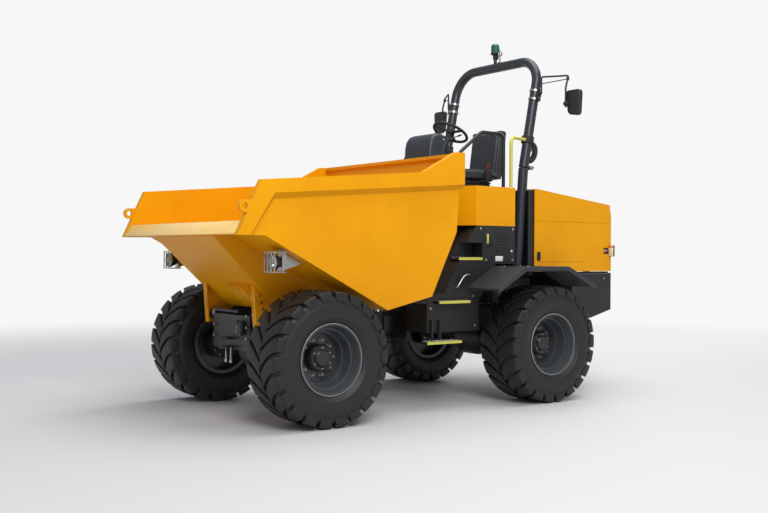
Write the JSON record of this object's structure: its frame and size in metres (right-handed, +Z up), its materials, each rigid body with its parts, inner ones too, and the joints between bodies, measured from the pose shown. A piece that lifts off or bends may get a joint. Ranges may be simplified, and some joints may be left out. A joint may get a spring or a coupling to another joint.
{
  "type": "site dumper",
  "caption": "Articulated site dumper with a forward tipping skip, open operator's place, folding roll-over hoop, rear engine cover and four lugged tyres.",
  "frame": {"origin": "on the ground, under the centre of the machine's bounding box", "axes": "+X forward to the skip's lip, +Y to the machine's left, +Z up"},
  "size_m": [4.83, 2.416, 3.7673],
  "materials": {
    "yellow_paint": "satin paint",
    "chassis_black": "satin black paint",
    "weight_grey": "satin dark grey paint",
    "body_grey": "matte moulded panels",
    "hoop_grey": "satin dark blue-grey paint",
    "mirror_black": "matte black",
    "seat_black": "black vinyl",
    "hi_vis": "pale yellow-green paint",
    "tyre": "black rubber",
    "wheel_grey": "satin gunmetal paint",
    "rod_chrome": "polished chrome",
    "lamp_lens": "clear lens",
    "lamp_red": "red lens",
    "beacon_green": "green lens"
  },
  "bodies": {
    "rear_frame": {"surround": "yellow_paint", "step_edges": "hi_vis", "steps": "body_grey", "rear_chassis": "chassis_black", "rear_axle": "chassis_black", "hoop_mount": "chassis_black", "seat_rails": "chassis_black", "engine_block": "chassis_black", "deck": "chassis_black", "counterweight": "weight_grey", "towers": "body_grey", "fenders": "body_grey", "console": "body_grey", "seat_base": "body_grey", "hoop_posts": "hoop_grey", "steering_wheel": "mirror_black", "seat_cushion": "seat_black", "seat_back": "seat_black"},
    "front_frame": {"front_chassis": "chassis_black", "front_axle": "chassis_black"},
    "skip": {"skip_shell": "yellow_paint", "skip_brackets": "yellow_paint", "headlamps": "lamp_lens", "lamp_brackets": "chassis_black"},
    "hoop": {"hoop": "hoop_grey", "mirrors": "mirror_black", "beacon_stem": "hoop_grey", "beacon": "beacon_green", "grab_rails": "hi_vis"},
    "engine_cover": {"engine_cover": "yellow_paint", "tail_lamps": "lamp_red"},
    "tip_barrels": {"tip_barrels": "chassis_black"},
    "tip_rods": {"tip_rods": "rod_chrome"},
    "steer_barrel_left": {"steer_barrel_left": "chassis_black"},
    "steer_rod_left": {"steer_rod_left": "rod_chrome"},
    "steer_barrel_right": {"steer_barrel_right": "chassis_black"},
    "steer_rod_right": {"steer_rod_right": "rod_chrome"},
    "wheel_front_left": {"tyre_front_left": "tyre", "rim_front_left": "wheel_grey"},
    "wheel_front_right": {"tyre_front_right": "tyre", "rim_front_right": "wheel_grey"},
    "wheel_rear_left": {"tyre_rear_left": "tyre", "rim_rear_left": "wheel_grey"},
    "wheel_rear_right": {"tyre_rear_right": "tyre", "rim_rear_right": "wheel_grey"}
  },
  "joints": [
    {"name": "steer", "type": "hinge", "parent": "rear_frame", "child": "front_frame", "pos_m": [0.2215, 0, 0.74], "axis": [0, 0, 1], "range_deg": [-30, 30]},
    {"name": "skip_tip", "type": "hinge", "parent": "front_frame", "child": "skip", "pos_m": [1.779, 0, 0.88], "axis": [0, 1, 0], "range_deg": [0, 68]},
    {"name": "hoop_fold", "type": "hinge", "parent": "rear_frame", "child": "hoop", "pos_m": [-1.256, 0, 2.35], "axis": [0, -1, 0], "range_deg": [0, 90]},
    {"name": "cover_open", "type": "hinge", "parent": "rear_frame", "child": "engine_cover", "pos_m": [-2.38, 0, 1.332], "axis": [0, 1, 0], "range_deg": [-60, 0]},
    {"name": "front_left_wheel", "type": "hinge", "parent": "front_frame", "child": "wheel_front_left", "pos_m": [1.529, 0.963, 0.575], "axis": [0, 1, 0], "continuous": true},
    {"name": "front_right_wheel", "type": "hinge", "parent": "front_frame", "child": "wheel_front_right", "pos_m": [1.529, -0.963, 0.575], "axis": [0, 1, 0], "continuous": true},
    {"name": "rear_left_wheel", "type": "hinge", "parent": "rear_frame", "child": "wheel_rear_left", "pos_m": [-1.086, 0.963, 0.575], "axis": [0, 1, 0], "continuous": true},
    {"name": "rear_right_wheel", "type": "hinge", "parent": "rear_frame", "child": "wheel_rear_right", "pos_m": [-1.086, -0.963, 0.575], "axis": [0, 1, 0], "continuous": true},
    {"name": "tip_barrel_swing", "type": "hinge", "parent": "front_frame", "child": "tip_barrels", "pos_m": [0.54, 0, 0.6], "axis": [0, -1, 0], "range_deg": [-1, 14.5]},
    {"name": "tip_rod_slide", "type": "slide", "parent": "tip_barrels", "child": "tip_rods", "axis": [0.9287, 0, 0.3707], "range_m": [-0.01, 0.53]},
    {"name": "steer_barrel_swing_left", "type": "hinge", "parent": "rear_frame", "child": "steer_barrel_left", "pos_m": [-0.2485, 0.3, 0.942], "axis": [0, 0, 1], "range_deg": [-10, 10]},
    {"name": "steer_rod_slide_left", "type": "slide", "parent": "steer_barrel_left", "child": "steer_rod_left", "axis": [1, 0, 0], "range_m": [-0.16, 0.16]},
    {"name": "steer_barrel_swing_right", "type": "hinge", "parent": "rear_frame", "child": "steer_barrel_right", "pos_m": [-0.2485, -0.3, 0.942], "axis": [0, 0, 1], "range_deg": [-10, 10]},
    {"name": "steer_rod_slide_right", "type": "slide", "parent": "steer_barrel_right", "child": "steer_rod_right", "axis": [1, 0, 0], "range_m": [-0.16, 0.16]}
  ],
  "couplings": [
    {"joint": "tip_barrel_swing", "follows": "skip_tip", "ratio": 0.19631},
    {"joint": "tip_rod_slide", "follows": "skip_tip", "m_per_rad": 0.42712},
    {"joint": "steer_barrel_swing_left", "follows": "steer", "ratio": 0.29},
    {"joint": "steer_barrel_swing_right", "follows": "steer", "ratio": 0.29},
    {"joint": "steer_rod_slide_left", "follows": "steer", "m_per_rad": -0.295},
    {"joint": "steer_rod_slide_right", "follows": "steer", "m_per_rad": 0.295}
  ]
}
